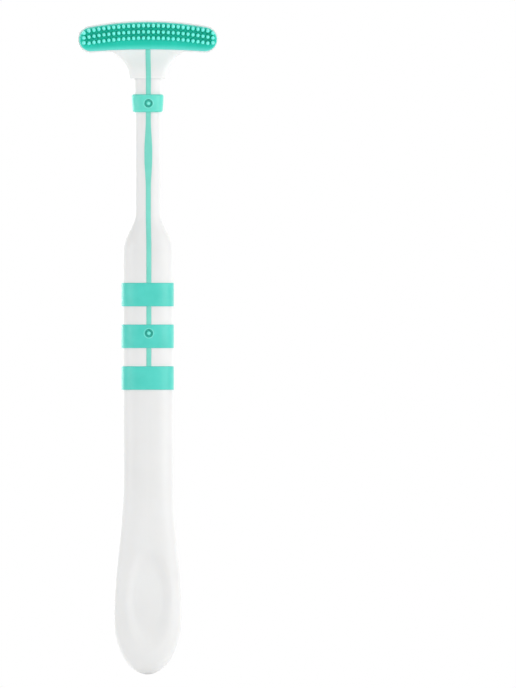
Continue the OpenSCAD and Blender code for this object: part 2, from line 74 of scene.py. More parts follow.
# ---- Handle ----
# One moulding of stiff white polypropylene: a paddle with a thumb dish on each face,
# a straight grip, a shoulder, a thin stem and the neck, with a spigot for the head.
# It has three grooves for the bands, one for the collar and a channel in its front
# for the runner. Shapes are drawn in millimetres up from the paddle's tip.
MM = 0.001
PADDLE_LENGTH, PADDLE_WIDTH, PADDLE_THICKNESS = 50.0, 17.7, 7.6
PADDLE_ROUND, TIP_ROUND = 15.4, 6.0
DISH_WIDTH, DISH_LENGTH, DISH_RISE, DISH_DEPTH, DISH_WALL = 12.6, 28.6, 19.6, 0.95, 3.0
GRIP_LENGTH, GRIP_WIDTH, GRIP_THICKNESS = 60.2, 13.4, 10.4
SHOULDER_LENGTH = 10.2
STEM_LENGTH, STEM_WIDTH, STEM_THICKNESS = 25.8, 6.7, 5.9
NECK_LENGTH, NECK_WIDTH, NECK_THICKNESS = 4.1, 7.2, 6.4
SPIGOT_LENGTH, SPIGOT_WIDTH, SPIGOT_THICKNESS = 4.0, 4.4, 2.8
BAND_HEIGHT, BAND_GAP, BAND_TOP_GAP = 6.1, 4.75, 8.4
COLLAR_HEIGHT = 4.6
SEAT_DEPTH = 0.9
RUNNER_WIDTH, RUNNER_DEPTH = 1.3, 0.6
SWELL_WIDTH, SWELL_LENGTH, SWELL_DROP = 2.1, 18.6, 11.0
# Powers of the rounded outlines: 2 is an ellipse, more is squarer.
BODY_POWER, FOOT_POWER = 2.5, 3.6
EDGE_ROUND = 0.07

SHOULDER_Z = PADDLE_LENGTH + GRIP_LENGTH
STEM_Z = SHOULDER_Z + SHOULDER_LENGTH
COLLAR_Z = STEM_Z + STEM_LENGTH
NECK_Z = COLLAR_Z + COLLAR_HEIGHT
JOINT_Z = NECK_Z + NECK_LENGTH
UPPER_BAND_Z = SHOULDER_Z - BAND_TOP_GAP - BAND_HEIGHT
MIDDLE_BAND_Z = UPPER_BAND_Z - BAND_GAP - BAND_HEIGHT
LOWER_BAND_Z = MIDDLE_BAND_Z - BAND_GAP - BAND_HEIGHT
GRIP_MIDDLE_Z = MIDDLE_BAND_Z + BAND_HEIGHT / 2


def mix(a, b, share):
    return a + (b - a) * share


def ease(share):
    return (1 - np.cos(np.pi * np.clip(share, 0, 1))) / 2


def along_handle(z, paddle, grip, stem, neck, tip):
    """Half of a width or thickness that follows the handle's stretches."""
    z = np.asarray(z, float)
    tip_share = np.sqrt(np.clip(1 - (1 - np.minimum(z, tip) / tip) ** 2, 0, 1))
    size = mix(paddle, grip, ease((z - PADDLE_ROUND) / (PADDLE_LENGTH - PADDLE_ROUND)))
    size = np.where(z > PADDLE_LENGTH, mix(grip, stem, ease((z - SHOULDER_Z) / SHOULDER_LENGTH)), size)
    size = np.where(z > STEM_Z, mix(stem, neck, np.clip((z - COLLAR_Z) / COLLAR_HEIGHT, 0, 1)), size)
    return size / 2 * tip_share


def half_width(z):
    return along_handle(z, PADDLE_WIDTH, GRIP_WIDTH, STEM_WIDTH, NECK_WIDTH, PADDLE_ROUND)


def half_thickness(z):
    return along_handle(z, PADDLE_THICKNESS, GRIP_THICKNESS, STEM_THICKNESS, NECK_THICKNESS, TIP_ROUND)


def runner_half(z):
    return mix(SWELL_WIDTH, RUNNER_WIDTH, ease(abs(z - (COLLAR_Z - SWELL_DROP)) / (SWELL_LENGTH / 2))) / 2


def thumb_dish(x, z):
    r = np.hypot(2 * x / DISH_WIDTH, 2 * (z - DISH_RISE) / DISH_LENGTH)
    return DISH_DEPTH * ease((1 - r) * DISH_WIDTH / 2 / DISH_WALL)


def front_of(a, b, power, x):
    """Front face, at width x, of a rounded outline of half width a and half thickness b."""
    return -b * (1 - np.minimum(np.abs(x) / a, 1) ** power) ** (1 / power)


def outline_from(a, b, power, x, count):
    """The outline from width x on its front right, round the back, to -x."""
    start = -math.acos((x / a) ** (power / 2))
    t = np.linspace(start, math.pi - start, count)
    c, s = np.cos(t), np.sin(t)
    return a * np.sign(c) * np.abs(c) ** (2 / power), b * np.sign(s) * np.abs(s) ** (2 / power)


def skin(rings, closed=False):
    """Points and faces of a surface through rings with as many points each."""
    rings = np.asarray(rings)
    count, size = rings.shape[:2]
    k = np.arange(count if closed else count - 1)[:, None] * size
    i = np.arange(size)[None, :]
    above = (k + size) % (count * size)
    quads = np.stack([k + i, k + (i + 1) % size, above + (i + 1) % size, above + i], -1)
    faces = quads.reshape(-1, 4).tolist()
    if not closed:
        faces += [list(range(size))[::-1], list(range((count - 1) * size, count * size))]
    return rings.reshape(-1, 3), faces


def piece(name, points, faces, material, crease=38):
    """Object from millimetre points, put in the CAD's frame."""
    mesh = bpy.data.meshes.new(name)
    mesh.from_pydata(((np.asarray(points) - (0, 0, GRIP_MIDDLE_Z)) * MM).tolist(), [], faces)
    mesh.shade_smooth()
    mesh.set_sharp_from_angle(angle=math.radians(crease))
    mesh.materials.append(material)
    made = bpy.data.objects.new(name, mesh)
    bpy.context.collection.objects.link(made)
    return made


def node(tree, kind, inputs=(), **settings):
    """Shader node with its settings, and with values or links on its inputs."""
    made = tree.nodes.new(kind)
    for key, value in settings.items():
        setattr(made, key, value)
    for key, value in dict(inputs).items():
        if isinstance(value, bpy.types.NodeSocket):
            tree.links.new(value, made.inputs[key])
        else:
            made.inputs[key].default_value = value
    return made


def shader_group(name, inputs, outputs):
    """Empty node group with named sockets, and its input and output nodes."""
    tree = bpy.data.node_groups.new(name, "ShaderNodeTree")
    for key, value in inputs.items():
        tree.interface.new_socket(key, in_out="INPUT", socket_type="NodeSocketFloat").default_value = value
    for key in outputs:
        tree.interface.new_socket(key, in_out="OUTPUT", socket_type="NodeSocketFloat")
    return tree, tree.nodes.new("NodeGroupInput"), tree.nodes.new("NodeGroupOutput")


def math_node(tree, operation, a, b=0.0, clamp=False):
    made = node(tree, "ShaderNodeMath", {0: a, 1: b}, operation=operation, use_clamp=clamp)
    return made.outputs[0]


def noise(tree, place, size, detail=2.0, roughness=0.5):
    """Noise whose lumps are about size millimetres across."""
    scale = math_node(tree, "DIVIDE", 1 / MM, size)
    made = node(tree, "ShaderNodeTexNoise", {"Vector": place, "Scale": scale, "Detail": detail, "Roughness": roughness})
    return made.outputs["Fac"]


# The skin that the polished mould leaves: a slow ripple, a fine grain, and clouds
# where the melt cooled a little sooner or later.
mould_skin, skin_in, skin_out = shader_group(
    "mould_skin",
    {"Ripple Size": 3.0, "Grain Size": 0.12, "Grain Share": 0.3, "Cloud Size": 14.0},
    ["Height", "Cloud"],
)
place = node(mould_skin, "ShaderNodeTexCoord").outputs["Object"]
ripple = noise(mould_skin, place, skin_in.outputs["Ripple Size"], 1.0)
grain = noise(mould_skin, place, skin_in.outputs["Grain Size"], 2.0, 0.6)
cloud = noise(mould_skin, place, skin_in.outputs["Cloud Size"], 3.0, 0.55)
skin_height = node(mould_skin, "ShaderNodeMix", {"Factor": skin_in.outputs["Grain Share"], "A": ripple, "B": grain})
clear_cloud = node(mould_skin, "ShaderNodeMapRange", {"Value": cloud, "From Min": 0.32, "From Max": 0.68})
mould_skin.links.new(skin_height.outputs["Result"], skin_out.inputs["Height"])
mould_skin.links.new(clear_cloud.outputs["Result"], skin_out.inputs["Cloud"])

# The fine line along both sides where the two halves of the mould met.
parting_line, line_in, line_out = shader_group("parting_line", {"Width": 0.12}, ["Line"])
place = node(parting_line, "ShaderNodeTexCoord").outputs["Object"]
depth = node(parting_line, "ShaderNodeSeparateXYZ", {"Vector": place}).outputs["Y"]
drift = math_node(parting_line, "SUBTRACT", noise(parting_line, place, 9.0), 0.5)
wander = math_node(parting_line, "MULTIPLY", drift, 0.04 * MM)
off_line = math_node(parting_line, "ABSOLUTE", math_node(parting_line, "ADD", depth, wander))
line_half = math_node(parting_line, "MULTIPLY", line_in.outputs["Width"], MM / 2)
line_mask = node(
    parting_line,
    "ShaderNodeMapRange",
    {"Value": off_line, "From Min": line_half, "From Max": 0.0},
    interpolation_type="SMOOTHSTEP",
)
parting_line.links.new(line_mask.outputs["Result"], line_out.inputs["Line"])

# Scattered specks of dust and lint.
dust, dust_in, dust_out = shader_group("dust", {"Spacing": 2.6, "Size": 0.05, "Share": 0.25}, ["Speck"])
place = node(dust, "ShaderNodeTexCoord").outputs["Object"]
cell_scale = math_node(dust, "DIVIDE", 1 / MM, dust_in.outputs["Spacing"])
cells = node(dust, "ShaderNodeTexVoronoi", {"Vector": place, "Scale": cell_scale})
off_middle = cells.outputs["Distance"]
speck_size = math_node(dust, "DIVIDE", dust_in.outputs["Size"], dust_in.outputs["Spacing"])
near_middle = node(dust, "ShaderNodeMapRange", {"Value": off_middle, "From Min": speck_size, "From Max": 0.0})
lot = node(dust, "ShaderNodeSeparateColor", {"Color": cells.outputs["Color"]}).outputs[0]
chosen = math_node(dust, "LESS_THAN", lot, dust_in.outputs["Share"])
dust.links.new(math_node(dust, "MULTIPLY", near_middle.outputs["Result"], chosen), dust_out.inputs["Speck"])


def group_node(tree, group, inputs=()):
    made = node(tree, "ShaderNodeGroup", node_tree=group)
    for key, value in dict(inputs).items():
        made.inputs[key].default_value = value
    return made


def colour_mix(tree, share, a, b):
    made = tree.nodes.new("ShaderNodeMix")
    made.data_type = "RGBA"
    for socket, value in ((made.inputs[0], share), (made.inputs[6], a), (made.inputs[7], b)):
        if isinstance(value, bpy.types.NodeSocket):
            tree.links.new(value, socket)
        else:
            socket.default_value = value
    return made.outputs[2]


def skin_normal(tree, height, strength):
    """Normal over the shallow relief of the mould's skin."""
    return node(tree, "ShaderNodeBump", {"Strength": strength, "Distance": 0.012 * MM, "Height": height}).outputs[0]


def white_plastic(name, line_height, deeper, lighter):
    """Satin white polypropylene, a little milky, with its parting line."""
    made = bpy.data.materials.new(name)
    made.use_nodes = True
    tree = made.node_tree
    shader = tree.nodes["Principled BSDF"]
    skin_sizes = {"Ripple Size": 3.4, "Grain Size": 0.16, "Grain Share": 0.22, "Cloud Size": 15.0}
    skin_here = group_node(tree, mould_skin, skin_sizes)
    line_here = group_node(tree, parting_line, {"Width": 0.14})
    dust_here = group_node(tree, dust, {"Spacing": 3.2, "Size": 0.055, "Share": 0.3})
    cloudy = colour_mix(tree, skin_here.outputs["Cloud"], (*deeper, 1), (*lighter, 1))
    speck_share = math_node(tree, "MULTIPLY", dust_here.outputs["Speck"], 0.35)
    speckled = colour_mix(tree, speck_share, cloudy, (0.52, 0.51, 0.49, 1))
    line_share = math_node(tree, "MULTIPLY", line_here.outputs["Line"], 0.12)
    lined = colour_mix(tree, line_share, speckled, (0.70, 0.70, 0.69, 1))
    rough = node(tree, "ShaderNodeMapRange", {"Value": skin_here.outputs["Cloud"], "To Min": 0.33, "To Max": 0.43})
    bumpy = skin_normal(tree, skin_here.outputs["Height"], 0.5)
    ridge = {"Distance": line_height * MM, "Height": line_here.outputs["Line"], "Normal": bumpy}
    line_bump = node(tree, "ShaderNodeBump", ridge)
    tree.links.new(lined, shader.inputs["Base Color"])
    tree.links.new(rough.outputs["Result"], shader.inputs["Roughness"])
    tree.links.new(line_bump.outputs[0], shader.inputs["Normal"])
    shader.inputs["IOR"].default_value = 1.49
    shader.inputs["Subsurface Weight"].default_value = 0.25
    shader.inputs["Subsurface Radius"].default_value = (1.0, 0.92, 0.82)
    shader.inputs["Subsurface Scale"].default_value = 0.9 * MM
    return made


handle_white = white_plastic("handle_white", 0.02, (0.845, 0.845, 0.836), (0.882, 0.882, 0.874))


def handle_section(z, out=0.0, channel=0.0, shape=None):
    """Section of the handle: its outline round the back, then the runner's channel."""
    a, b, power = shape or (float(half_width(z)) + out, float(half_thickness(z)) + out, BODY_POWER)
    wall = min(float(runner_half(z)), 0.3 * a)
    mouth = wall + EDGE_ROUND * min(1, a)
    x, y = outline_from(a, b, power, mouth, 150)
    turn = np.radians([30, 60, 90])
    lip_x = -mouth + (mouth - wall) * np.sin(turn)
    across = np.concatenate([lip_x, [-wall, 0, wall], -lip_x[::-1]])
    down = channel * EDGE_ROUND * (1 - np.cos(turn))
    floor_y = float(front_of(float(half_width(z)), float(half_thickness(z)), BODY_POWER, wall)) + RUNNER_DEPTH
    face_y = front_of(a, b, power, across)
    sunk = face_y + np.concatenate([down, [0, 0, 0], down[::-1]])
    if channel:
        sunk[3:6] = floor_y
    x = np.concatenate([x, across])
    y = np.concatenate([y, sunk])
    if z < PADDLE_LENGTH:
        y = y - np.sign(y) * thumb_dish(x, z)
    return np.stack([x, y, np.full(len(x), z)], -1)


def rounded_edge(z, side, channel):
    """Sections over the rounded edge of a groove at height z, from the skin inwards."""
    return [
        handle_section(z + side * EDGE_ROUND * (1 - math.sin(t)), -EDGE_ROUND * (1 - math.cos(t)), channel)
        for t in np.radians([0, 30, 60, 90])
    ]


def groove(z, height, below, above):
    """Sections of a groove for a soft ring, with or without a channel on either side."""
    return [
        *rounded_edge(z, -1, below),
        handle_section(z, -SEAT_DEPTH),
        handle_section(z + height, -SEAT_DEPTH),
        *rounded_edge(z + height, 1, above)[::-1],
    ]


tip_z = PADDLE_ROUND * (1 - np.cos(np.radians(np.linspace(0.6, 90, 46))))
paddle_z = np.linspace(PADDLE_ROUND, PADDLE_LENGTH, 66)[1:]
handle_rings = [handle_section(z) for z in (*tip_z, *paddle_z, *np.linspace(PADDLE_LENGTH, LOWER_BAND_Z, 12)[1:-1])]
handle_rings += groove(LOWER_BAND_Z, BAND_HEIGHT, 0, 1)
handle_rings += groove(MIDDLE_BAND_Z, BAND_HEIGHT, 1, 1)
handle_rings += groove(UPPER_BAND_Z, BAND_HEIGHT, 1, 1)
stem_heights = [*np.linspace(SHOULDER_Z, STEM_Z, 30), *np.linspace(STEM_Z, COLLAR_Z, 34)[1:-1]]
handle_rings += [handle_section(z, 0, 1) for z in (SHOULDER_Z - 2, *stem_heights)]
handle_rings += groove(COLLAR_Z, COLLAR_HEIGHT, 1, 1)
handle_rings += rounded_edge(JOINT_Z, -1, 1)
spigot = (SPIGOT_WIDTH / 2, SPIGOT_THICKNESS / 2, FOOT_POWER)
handle_rings += [handle_section(z, shape=spigot) for z in (JOINT_Z, JOINT_Z + SPIGOT_LENGTH)]
handle = piece("handle_body", *skin(handle_rings), handle_white)
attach(handle, "root")
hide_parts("handle")

# ---- Head ----
# A second white moulding, pushed on the handle's spigot: a thin curved plate with
# round ends, on a foot that overhangs the neck and flares into the plate. It has a
# seat for the nub pad, slots for the two lips, holes for the plugs that tie them
# through the plate, and the end of the runner's channel.
HEAD_WIDTH, HEAD_HEIGHT = 36.7, 15.1
PLATE_HEIGHT, PLATE_THICKNESS, PLATE_EDGE = 7.9, 3.0, 0.4
CROWN_RADIUS, BASE_RADIUS = 83.0, 219.0
FOOT_WIDTH, FOOT_THICKNESS, FOOT_EDGE, FOOT_FILLET = 10.1, 7.0, 0.25, 0.12
PAD_RIM, PAD_SEAT = 0.4, 0.5
LIP_SEAT = 0.5
CROWN_Z = JOINT_Z + HEAD_HEIGHT
BASE_Z = CROWN_Z - PLATE_HEIGHT
CROWN_MIDDLE = CROWN_Z - CROWN_RADIUS
BASE_MIDDLE = BASE_Z - BASE_RADIUS
FOOT_HEIGHT = BASE_Z - JOINT_Z
FLARE_RADIUS = FOOT_HEIGHT + PLATE_EDGE


def plate_end():
    """Middle and radius of the plate's round end, tangent to both of its arcs."""
    half, span = HEAD_WIDTH / 2, CROWN_MIDDLE - BASE_MIDDLE
    b = (BASE_RADIUS + CROWN_RADIUS) / span
    a = ((BASE_RADIUS**2 - CROWN_RADIUS**2) / span + BASE_MIDDLE + CROWN_MIDDLE) / 2 - CROWN_MIDDLE
    q = b * a - half + CROWN_RADIUS
    c = half**2 + a**2 - CROWN_RADIUS**2
    radius = (math.sqrt(q * q - b * b * c) - q) / (b * b)
    x = half - radius
    return x, CROWN_MIDDLE + math.sqrt((CROWN_RADIUS - radius) ** 2 - x * x), radius


END_X, END_Z, END_RADIUS = plate_end()
END_TOP = math.atan2(END_Z - CROWN_MIDDLE, END_X)
END_BASE = math.atan2(END_Z - BASE_MIDDLE, END_X) - math.pi


def off_plate(x, z):
    """Distance outside the plate's outline, negative inside it."""
    x = np.abs(x)
    from_arcs = np.maximum(np.hypot(x, z - CROWN_MIDDLE) - CROWN_RADIUS, BASE_RADIUS - np.hypot(x, z - BASE_MIDDLE))
    from_end = np.hypot(x - END_X, z - END_Z) - END_RADIUS
    turn = np.arctan2(z - END_Z, x - END_X)
    return np.where((turn < END_TOP) & (turn > END_BASE), from_end, from_arcs)


def plate_outline(inset):
    """The plate's outline drawn in by inset, as [x, z] points."""
    top = np.linspace(math.pi / 2, END_TOP, 40)
    end = np.linspace(END_TOP, END_BASE, 30)[1:]
    base = np.linspace(END_BASE + math.pi, math.pi / 2, 40)[1:]
    right = np.concatenate([
        np.stack([(CROWN_RADIUS - inset) * np.cos(top), CROWN_MIDDLE + (CROWN_RADIUS - inset) * np.sin(top)], -1),
        np.stack([END_X + (END_RADIUS - inset) * np.cos(end), END_Z + (END_RADIUS - inset) * np.sin(end)], -1),
        np.stack([(BASE_RADIUS + inset) * np.cos(base), BASE_MIDDLE + (BASE_RADIUS + inset) * np.sin(base)], -1),
    ])
    return np.concatenate([right, right[-2:0:-1] * (-1, 1)])


def rounded_corner(a, b, radius):
    """Meeting of two faces, given by their distances, with a rounded edge."""
    a, b = a + radius, b + radius
    return np.minimum(np.maximum(a, b), 0) + np.hypot(np.maximum(a, 0), np.maximum(b, 0)) - radius


def joined(a, b, blend):
    """Union of two forms, given by their distances, with a small fillet."""
    h = np.maximum(blend - np.abs(a - b), 0) / blend
    return np.minimum(a, b) - h * h * blend / 4


def common(a, b, blend):
    return -joined(-a, -b, blend)


def foot_half_width(z):
    rise = np.clip(z - JOINT_Z, 0, FLARE_RADIUS)
    return FOOT_WIDTH / 2 + FLARE_RADIUS - np.sqrt(FLARE_RADIUS**2 - rise**2)


def foot_half_thickness(z):
    return mix(FOOT_THICKNESS, PLATE_THICKNESS, ease((z - JOINT_Z) / FOOT_HEIGHT)) / 2


def head_form(x, y, z):
    """Distance outside the plate and its foot, without what is cut out of them."""
    plate = rounded_corner(off_plate(x, z), np.abs(y) - PLATE_THICKNESS / 2, PLATE_EDGE)
    a, b = foot_half_width(z), foot_half_thickness(z)
    u, v = np.abs(x) / a, np.abs(y) / b
    g = np.maximum((u**FOOT_POWER + v**FOOT_POWER) ** (1 / FOOT_POWER), 0.05)
    steep = np.hypot((u / g) ** (FOOT_POWER - 1) / a, (v / g) ** (FOOT_POWER - 1) / b)
    foot = rounded_corner((g - 1) / steep, JOINT_Z - z, FOOT_EDGE)
    foot = np.maximum(foot, z - (BASE_Z + PLATE_EDGE + FOOT_EDGE))
    return joined(plate, foot, FOOT_FILLET)


def wrapped(form, low, high, step, settle=3):
    """Points and faces of the surface where form is zero, on a grid of steps."""
    lines = [np.arange(a, b + step, step) for a, b in zip(low, high)]
    grid = np.meshgrid(*lines, indexing="ij")
    value = form(*grid)
    inside = value < 0
    corners = [(i, j, k) for i in (0, 1) for j in (0, 1) for k in (0, 1)]
    n = [len(line) - 1 for line in lines]
    total = sum(inside[i : i + n[0], j : j + n[1], k : k + n[2]].astype(int) for i, j, k in corners)
    cells = np.argwhere((total > 0) & (total < 8))
    number = np.full(n, -1)
    number[tuple(cells.T)] = np.arange(len(cells))
    summed, count = np.zeros((len(cells), 3)), np.zeros(len(cells))
    for p in corners:
        for axis in range(3):
            if p[axis]:
                continue
            q = list(p)
            q[axis] = 1
            at_p, at_q = cells + p, cells + q
            f, g = value[tuple(at_p.T)], value[tuple(at_q.T)]
            cut = (f < 0) != (g < 0)
            share = np.where(cut, f / np.where(cut, f - g, 1), 0)
            crossing = at_p + np.outer(share, np.subtract(q, p))
            summed += crossing * cut[:, None]
            count += cut
    points = np.array(low) + summed / count[:, None] * step
    faces = []
    for axis in range(3):
        after = [1 if a == axis else 0 for a in range(3)]
        size = [len(line) for line in lines]
        here = inside[tuple(slice(0, size[a] - after[a]) for a in range(3))]
        there = inside[tuple(slice(after[a], size[a]) for a in range(3))]
        edges = np.argwhere(here != there)
        b, c = (axis + 1) % 3, (axis + 2) % 3
        within = (edges[:, b] > 0) & (edges[:, c] > 0) & (edges[:, b] < n[b]) & (edges[:, c] < n[c])
        edges = edges[within]
        ring = []
        for db, dc in ((1, 1), (0, 1), (0, 0), (1, 0)):
            cell = edges.copy()
            cell[:, b] -= db
            cell[:, c] -= dc
            ring.append(number[tuple(cell.T)])
        quad = np.stack(ring, -1)
        starts_inside = inside[tuple(edges.T)]
        quad[~starts_inside] = quad[~starts_inside][:, ::-1]
        faces.append(quad)
    faces = np.concatenate(faces)
    links = np.concatenate([faces[:, [0, 1]], faces[:, [1, 2]], faces[:, [2, 3]], faces[:, [3, 0]]])
    for turn in range(settle):
        beside = np.zeros_like(points)
        many = np.zeros(len(points))
        np.add.at(beside, links[:, 0], points[links[:, 1]])
        np.add.at(many, links[:, 0], 1)
        if turn < settle - 1:
            points = mix(points, beside / many[:, None], 0.5)
        for _ in range(3):
            points = points - onto(form, points, step)
    return points, faces.tolist()


def onto(form, points, step):
    """Steps that bring points onto the surface where form is zero."""
    small = 0.004
    value = form(*points.T)
    slope = np.stack([
        (form(*(points + d).T) - form(*(points - d).T)) / (2 * small)
        for d in np.eye(3) * small
    ], -1)
    move = slope * (value / np.maximum((slope**2).sum(-1), 0.05))[:, None]
    length = np.linalg.norm(move, axis=-1, keepdims=True)
    return move * np.minimum(1, step / np.maximum(length, 1e-9))


def prism(outline, y_from, y_to):
    """Points and faces of a solid between two depths, over an [x, z] outline."""
    outline = np.asarray(outline)
    ring = [np.insert(outline, 1, y, axis=1) for y in (y_from, y_to)]
    return skin(ring)


def together(*solids):
    """Several solids as one list of points and one of faces."""
    points, faces, count = [], [], 0
    for some_points, some_faces in solids:
        points.append(np.asarray(some_points))
        faces += [[i + count for i in face] for face in some_faces]
        count += len(some_points)
    return np.concatenate(points), faces


def cut_out(target, *solids):
    """Takes the solids out of the target piece."""
    cutter = piece("cutter", *together(*solids), target.data.materials[0])
    cut = target.modifiers.new("cut", "BOOLEAN")
    cut.operation, cut.solver, cut.object = "DIFFERENCE", "EXACT", cutter
    sight = bpy.context.evaluated_depsgraph_get()
    whole = target.data
    target.data = bpy.data.meshes.new_from_object(target.evaluated_get(sight))
    target.modifiers.clear()
    bpy.data.objects.remove(cutter)
    bpy.data.meshes.remove(whole)


def pillar(x, z, radius, y_from, y_to, sides=24):
    """Round rod along Y."""
    turn = np.linspace(0, 2 * math.pi, sides, endpoint=False)
    return prism(np.stack([x + radius * np.cos(turn), z + radius * np.sin(turn)], -1), y_from, y_to)


# Paths of the two lips: where a point of the path is, which way is outwards, and
# how much of the lip's width and height is left there, which rounds its ends.
OUTER_LIP_WIDTH, OUTER_LIP_EDGE, OUTER_LIP_INSET = 2.15, 0.9, 1.85
INNER_LIP_WIDTH, INNER_LIP_EDGE, INNER_LIP_INSET = 1.95, 0.85, 5.5
INNER_LIP_LENGTH = 19.6
HOOK_LENGTH, HOOK_ANGLE = 1.7, math.radians(8)


def lip_path(stretches, width, straight):
    """Right half of a lip from stretches of (middle, radius, from, to, steps), with a
    straight run and a rounded end after the last, mirrored."""
    half = []
    for middle, radius, start, stop, steps in stretches:
        for t in np.linspace(start, stop, steps):
            c, s = math.cos(t), math.sin(t)
            half.append([middle[0] + radius * c, middle[1] + radius * s, c, s, 1.0])
    x, z, out_x, out_z, _ = half[-1]
    for run in np.linspace(0, straight, 5)[1:] if straight else ():
        half.append([x + run * out_z, z - run * out_x, out_x, out_z, 1.0])
    for share in np.sin(np.radians(np.linspace(0, 88, 10)))[1:]:
        run = straight + share * width / 2
        half.append([x + run * out_z, z - run * out_x, out_x, out_z, math.sqrt(1 - share * share)])
    half = np.array(half)
    return np.concatenate([half[:0:-1] * (-1, 1, -1, 1, 1), half])


outer_radius = CROWN_RADIUS - OUTER_LIP_INSET
hook_radius = END_RADIUS - OUTER_LIP_INSET
outer_path = lip_path(
    [
        ((0, CROWN_MIDDLE), outer_radius, math.pi / 2, END_TOP, 60),
        ((END_X, END_Z), hook_radius, END_TOP - 0.02, -HOOK_ANGLE, 20),
    ],
    OUTER_LIP_WIDTH,
    HOOK_LENGTH - OUTER_LIP_WIDTH / 2,
)
inner_radius = CROWN_RADIUS - INNER_LIP_INSET
inner_reach = (INNER_LIP_LENGTH - INNER_LIP_WIDTH) / 2 / inner_radius
inner_run = ((0, CROWN_MIDDLE), inner_radius, math.pi / 2, math.pi / 2 - inner_reach, 50)
inner_path = lip_path([inner_run], INNER_LIP_WIDTH, 0)


def lip_slot(path, width):
    """Outline of a lip's slot, as [x, z] points."""
    u = (path[:, 4] * width / 2)[:, None]
    return np.concatenate([path[:, :2] + path[:, 2:4] * u, (path[:, :2] - path[:, 2:4] * u)[::-1]])


PLUG_DIAMETER = 1.1
# Gap that keeps the faces of two pieces apart, and that between spigot and socket.
SLIP, SOCKET_GAP = 0.02, 0.05
outer_turns = math.pi / 2 - np.linspace(-1, 1, 7) * (math.pi / 2 - END_TOP)
inner_turns = math.pi / 2 - np.linspace(-1, 1, 3) * (inner_reach - INNER_LIP_WIDTH / 2 / inner_radius)
plug_places = [
    *((outer_radius * math.cos(t), CROWN_MIDDLE + outer_radius * math.sin(t)) for t in outer_turns),
    *((inner_radius * math.cos(t), CROWN_MIDDLE + inner_radius * math.sin(t)) for t in inner_turns),
]
PAD_FLOOR = -PLATE_THICKNESS / 2 + PAD_SEAT
LIP_FLOOR = PLATE_THICKNESS / 2 - LIP_SEAT
# The runner climbs from the neck onto the foot over this much of the handle's axis.
RAMP = 0.3


def front_at(z):
    """Front of the white plastic beside the runner, up the handle and the head."""
    x = runner_half(z)

    def on_handle(h):
        return float(front_of(half_width(h), half_thickness(h), BODY_POWER, x))

    def on_foot(h):
        return float(front_of(foot_half_width(h), foot_half_thickness(h), FOOT_POWER, x))

    if z < JOINT_Z - RAMP:
        return on_handle(z)
    if z > JOINT_Z + RAMP:
        return on_foot(z)
    return mix(on_handle(JOINT_Z - RAMP), on_foot(JOINT_Z + RAMP), (z - JOINT_Z + RAMP) / (2 * RAMP))


foot_heights = np.linspace(JOINT_Z + RAMP, BASE_Z + PAD_RIM, 26)[1:]
neck_heights = [NECK_Z, *np.linspace(JOINT_Z - RAMP, JOINT_Z + RAMP, 5), *foot_heights]
channel = []
for z in [h for h in neck_heights if h > JOINT_Z - RAMP / 2] + [BASE_Z + 2 * PAD_RIM]:
    x, y = float(runner_half(z)) + SLIP / 2, front_at(z)
    channel.append([[x, y - 1, z], [x, y + RUNNER_DEPTH, z], [-x, y + RUNNER_DEPTH, z], [-x, y - 1, z]])
channel = np.array(channel)
channel[0][:, 2] = JOINT_Z - RAMP
socket_half, socket_depth = SPIGOT_WIDTH / 2 + SOCKET_GAP, SPIGOT_THICKNESS / 2 + SOCKET_GAP
socket_x, socket_y = outline_from(socket_half, socket_depth, FOOT_POWER, SOCKET_GAP, 60)
socket = [
    np.stack([socket_x, socket_y, np.full(60, z)], -1)
    for z in (JOINT_Z - 0.5, JOINT_Z + SPIGOT_LENGTH + SOCKET_GAP)
]

# The head's white is a little lighter than the handle's: painted light that lifts the shade the pad casts on the foot.
head_white = white_plastic("head_white", 0.015, (0.90, 0.90, 0.892), (0.935, 0.935, 0.927))
head = piece(
    "head_plate",
    *wrapped(head_form, (-18.7, -3.95, JOINT_Z - 0.25), (18.7, 3.95, CROWN_Z + 0.25), 0.16),
    head_white,
)
cut_out(
    head,
    prism(plate_outline(PAD_RIM), -PLATE_THICKNESS, PAD_FLOOR),
    prism(lip_slot(outer_path, OUTER_LIP_WIDTH), LIP_FLOOR, PLATE_THICKNESS),
    prism(lip_slot(inner_path, INNER_LIP_WIDTH), LIP_FLOOR, PLATE_THICKNESS),
    skin(socket),
)
cut_out(head, *(pillar(x, z, PLUG_DIAMETER / 2 + SLIP, PAD_FLOOR - SLIP, LIP_FLOOR + SLIP) for x, z in plug_places))
cut_out(head, skin(channel))
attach(head, "root")
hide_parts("head")

# ---- Nub pad ----
# Soft mint elastomer, moulded into the seat in the front of the head: a low pad
# with three curved rows of blunt nubs, a sloping edge under the lowest row and a
# soft radius everywhere.
PAD_HEIGHT, PAD_SLOPE = 1.1, 1.7
NUB_COLUMNS, NUB_ROWS = 27, 3
NUB_PITCH, ROW_PITCH, ROW_DROP, ROW_RADIUS, END_SQUEEZE = 1.29, 1.58, 1.35, 90.0, 0.33
NUB_ROOT, NUB_TIP, NUB_HEIGHT = 1.06, 0.80, 1.6
# The nubs are a little taller than wide, and a small fillet joins them to the pad.
NUB_OVAL, NUB_FILLET = 1.12, 0.2
PAD_ROUND, SKIRT_ROUND, SLOPE_ROUND = 0.3, 0.1, 0.45


